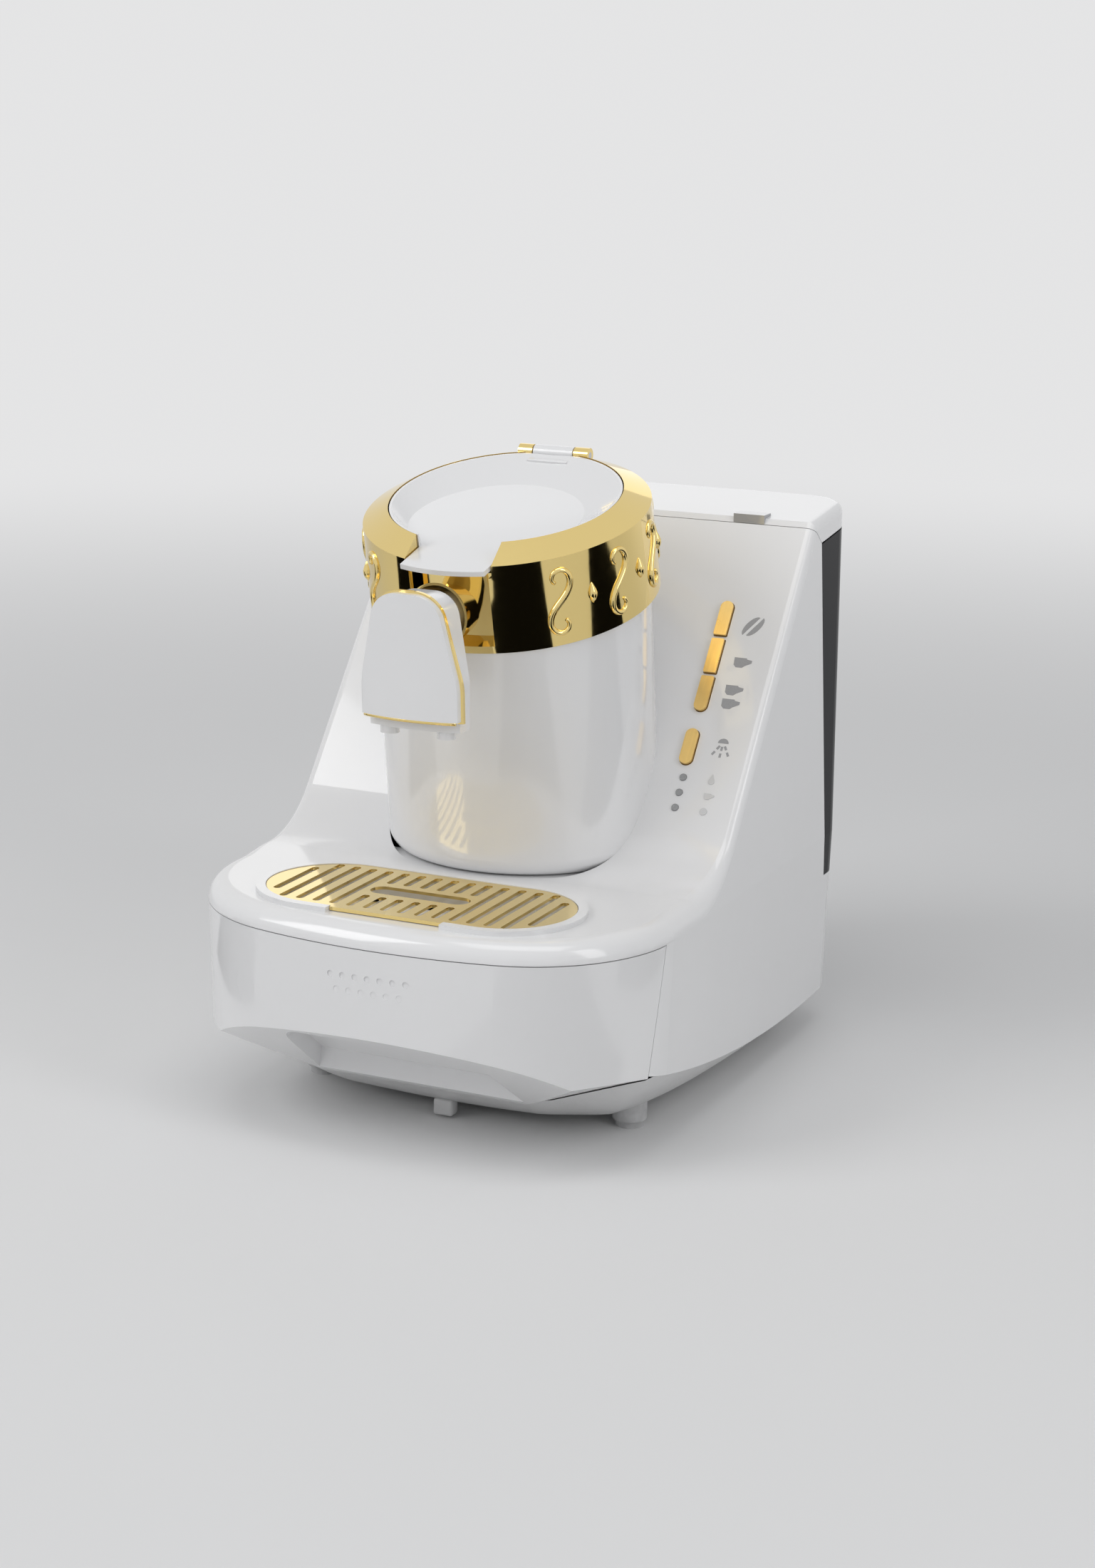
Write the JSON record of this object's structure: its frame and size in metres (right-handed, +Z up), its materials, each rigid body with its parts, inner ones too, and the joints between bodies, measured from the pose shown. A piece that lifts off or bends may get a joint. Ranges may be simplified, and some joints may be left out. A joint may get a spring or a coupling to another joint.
{
  "type": "electric turkish coffee maker",
  "caption": "Countertop Turkish coffee brewer: leaning pot with ringed lid and pouring spout over a drip grille, drip drawer, key column and lift-off water tank.",
  "frame": {"origin": "centre of the bounding box's base, on the surface the feet stand on", "axes": "+Z up, the front with the spout and drawer faces -Y, +X to the viewer's right from the front"},
  "size_m": [0.198, 0.27, 0.2631],
  "materials": {
    "white_shell": "glossy",
    "base_pan": "satin",
    "gold_plate": "mirror polished",
    "key_gold": "satin",
    "steel": "brushed",
    "aluminium": "cast",
    "smoke_tank": "glossy, dark smoke",
    "inner_plastic": "matte",
    "lens": "clear",
    "board": "matte",
    "rubber": "matte",
    "grey_tab": "glossy"
  },
  "bodies": {
    "machine": {"housing": "white_shell", "bottom_pan": "base_pan", "pot_shell": "white_shell", "ring_band": "gold_plate", "bezel_ring": "gold_plate", "lid_hinge_pin": "steel", "brew_cup": "steel", "heater_plate": "aluminium", "heater_stand": "inner_plastic", "spout_boss": "gold_plate", "spout_neck": "white_shell", "spout_head": "white_shell", "spout_trim": "gold_plate", "spout_cover": "white_shell", "nozzle_left": "white_shell", "nozzle_right": "white_shell", "drip_tray": "white_shell", "drawer_guide": "inner_plastic", "key_board": "board", "key_switches": "inner_plastic", "led_lenses": "lens", "dock_port": "rubber", "foot_front_left": "rubber", "foot_front_right": "rubber", "foot_rear_left": "rubber", "foot_rear_right": "rubber", "mains_inlet": "rubber"},
    "drawer": {"drawer_front": "white_shell", "drip_bin": "inner_plastic"},
    "brew_lid": {"brew_lid": "white_shell", "lid_gasket": "rubber", "boil_probe": "steel"},
    "grille": {"drip_grille": "gold_plate"},
    "tank": {"water_tank": "smoke_tank", "tank_lid_pin": "steel", "tank_valve": "inner_plastic"},
    "tank_lid": {"tank_lid": "white_shell", "tank_lid_tab": "grey_tab"},
    "button_first": {"button_first": "key_gold"},
    "button_second": {"button_second": "key_gold"},
    "button_third": {"button_third": "key_gold"},
    "button_fourth": {"button_fourth": "key_gold"}
  },
  "joints": [
    {"name": "drawer_slide", "type": "slide", "parent": "machine", "child": "drawer", "axis": [0, -1, 0], "range_m": [0, 0.085]},
    {"name": "brew_lid_hinge", "type": "hinge", "parent": "machine", "child": "brew_lid", "pos_m": [0, 0.03151, 0.25993], "axis": [-1, 0, 0], "range_deg": [0, 80]},
    {"name": "grille_lift", "type": "slide", "parent": "machine", "child": "grille", "axis": [0, 0, 1], "range_m": [0, 0.05]},
    {"name": "tank_lift", "type": "slide", "parent": "machine", "child": "tank", "axis": [0, 0, 1], "range_m": [0, 0.16]},
    {"name": "tank_lid_hinge", "type": "hinge", "parent": "tank", "child": "tank_lid", "pos_m": [0, 0.132, 0.2262], "axis": [-1, 0, 0], "range_deg": [0, 95]},
    {"name": "button_first_press", "type": "slide", "parent": "machine", "child": "button_first", "axis": [0, 0.7912, -0.6115], "range_m": [0, 0.0015], "stiffness_N_per_m": 300},
    {"name": "button_second_press", "type": "slide", "parent": "machine", "child": "button_second", "axis": [0, 0.7912, -0.6115], "range_m": [0, 0.0015], "stiffness_N_per_m": 300},
    {"name": "button_third_press", "type": "slide", "parent": "machine", "child": "button_third", "axis": [0, 0.7912, -0.6115], "range_m": [0, 0.0015], "stiffness_N_per_m": 300},
    {"name": "button_fourth_press", "type": "slide", "parent": "machine", "child": "button_fourth", "axis": [0, 0.7912, -0.6115], "range_m": [0, 0.0015], "stiffness_N_per_m": 300}
  ]
}
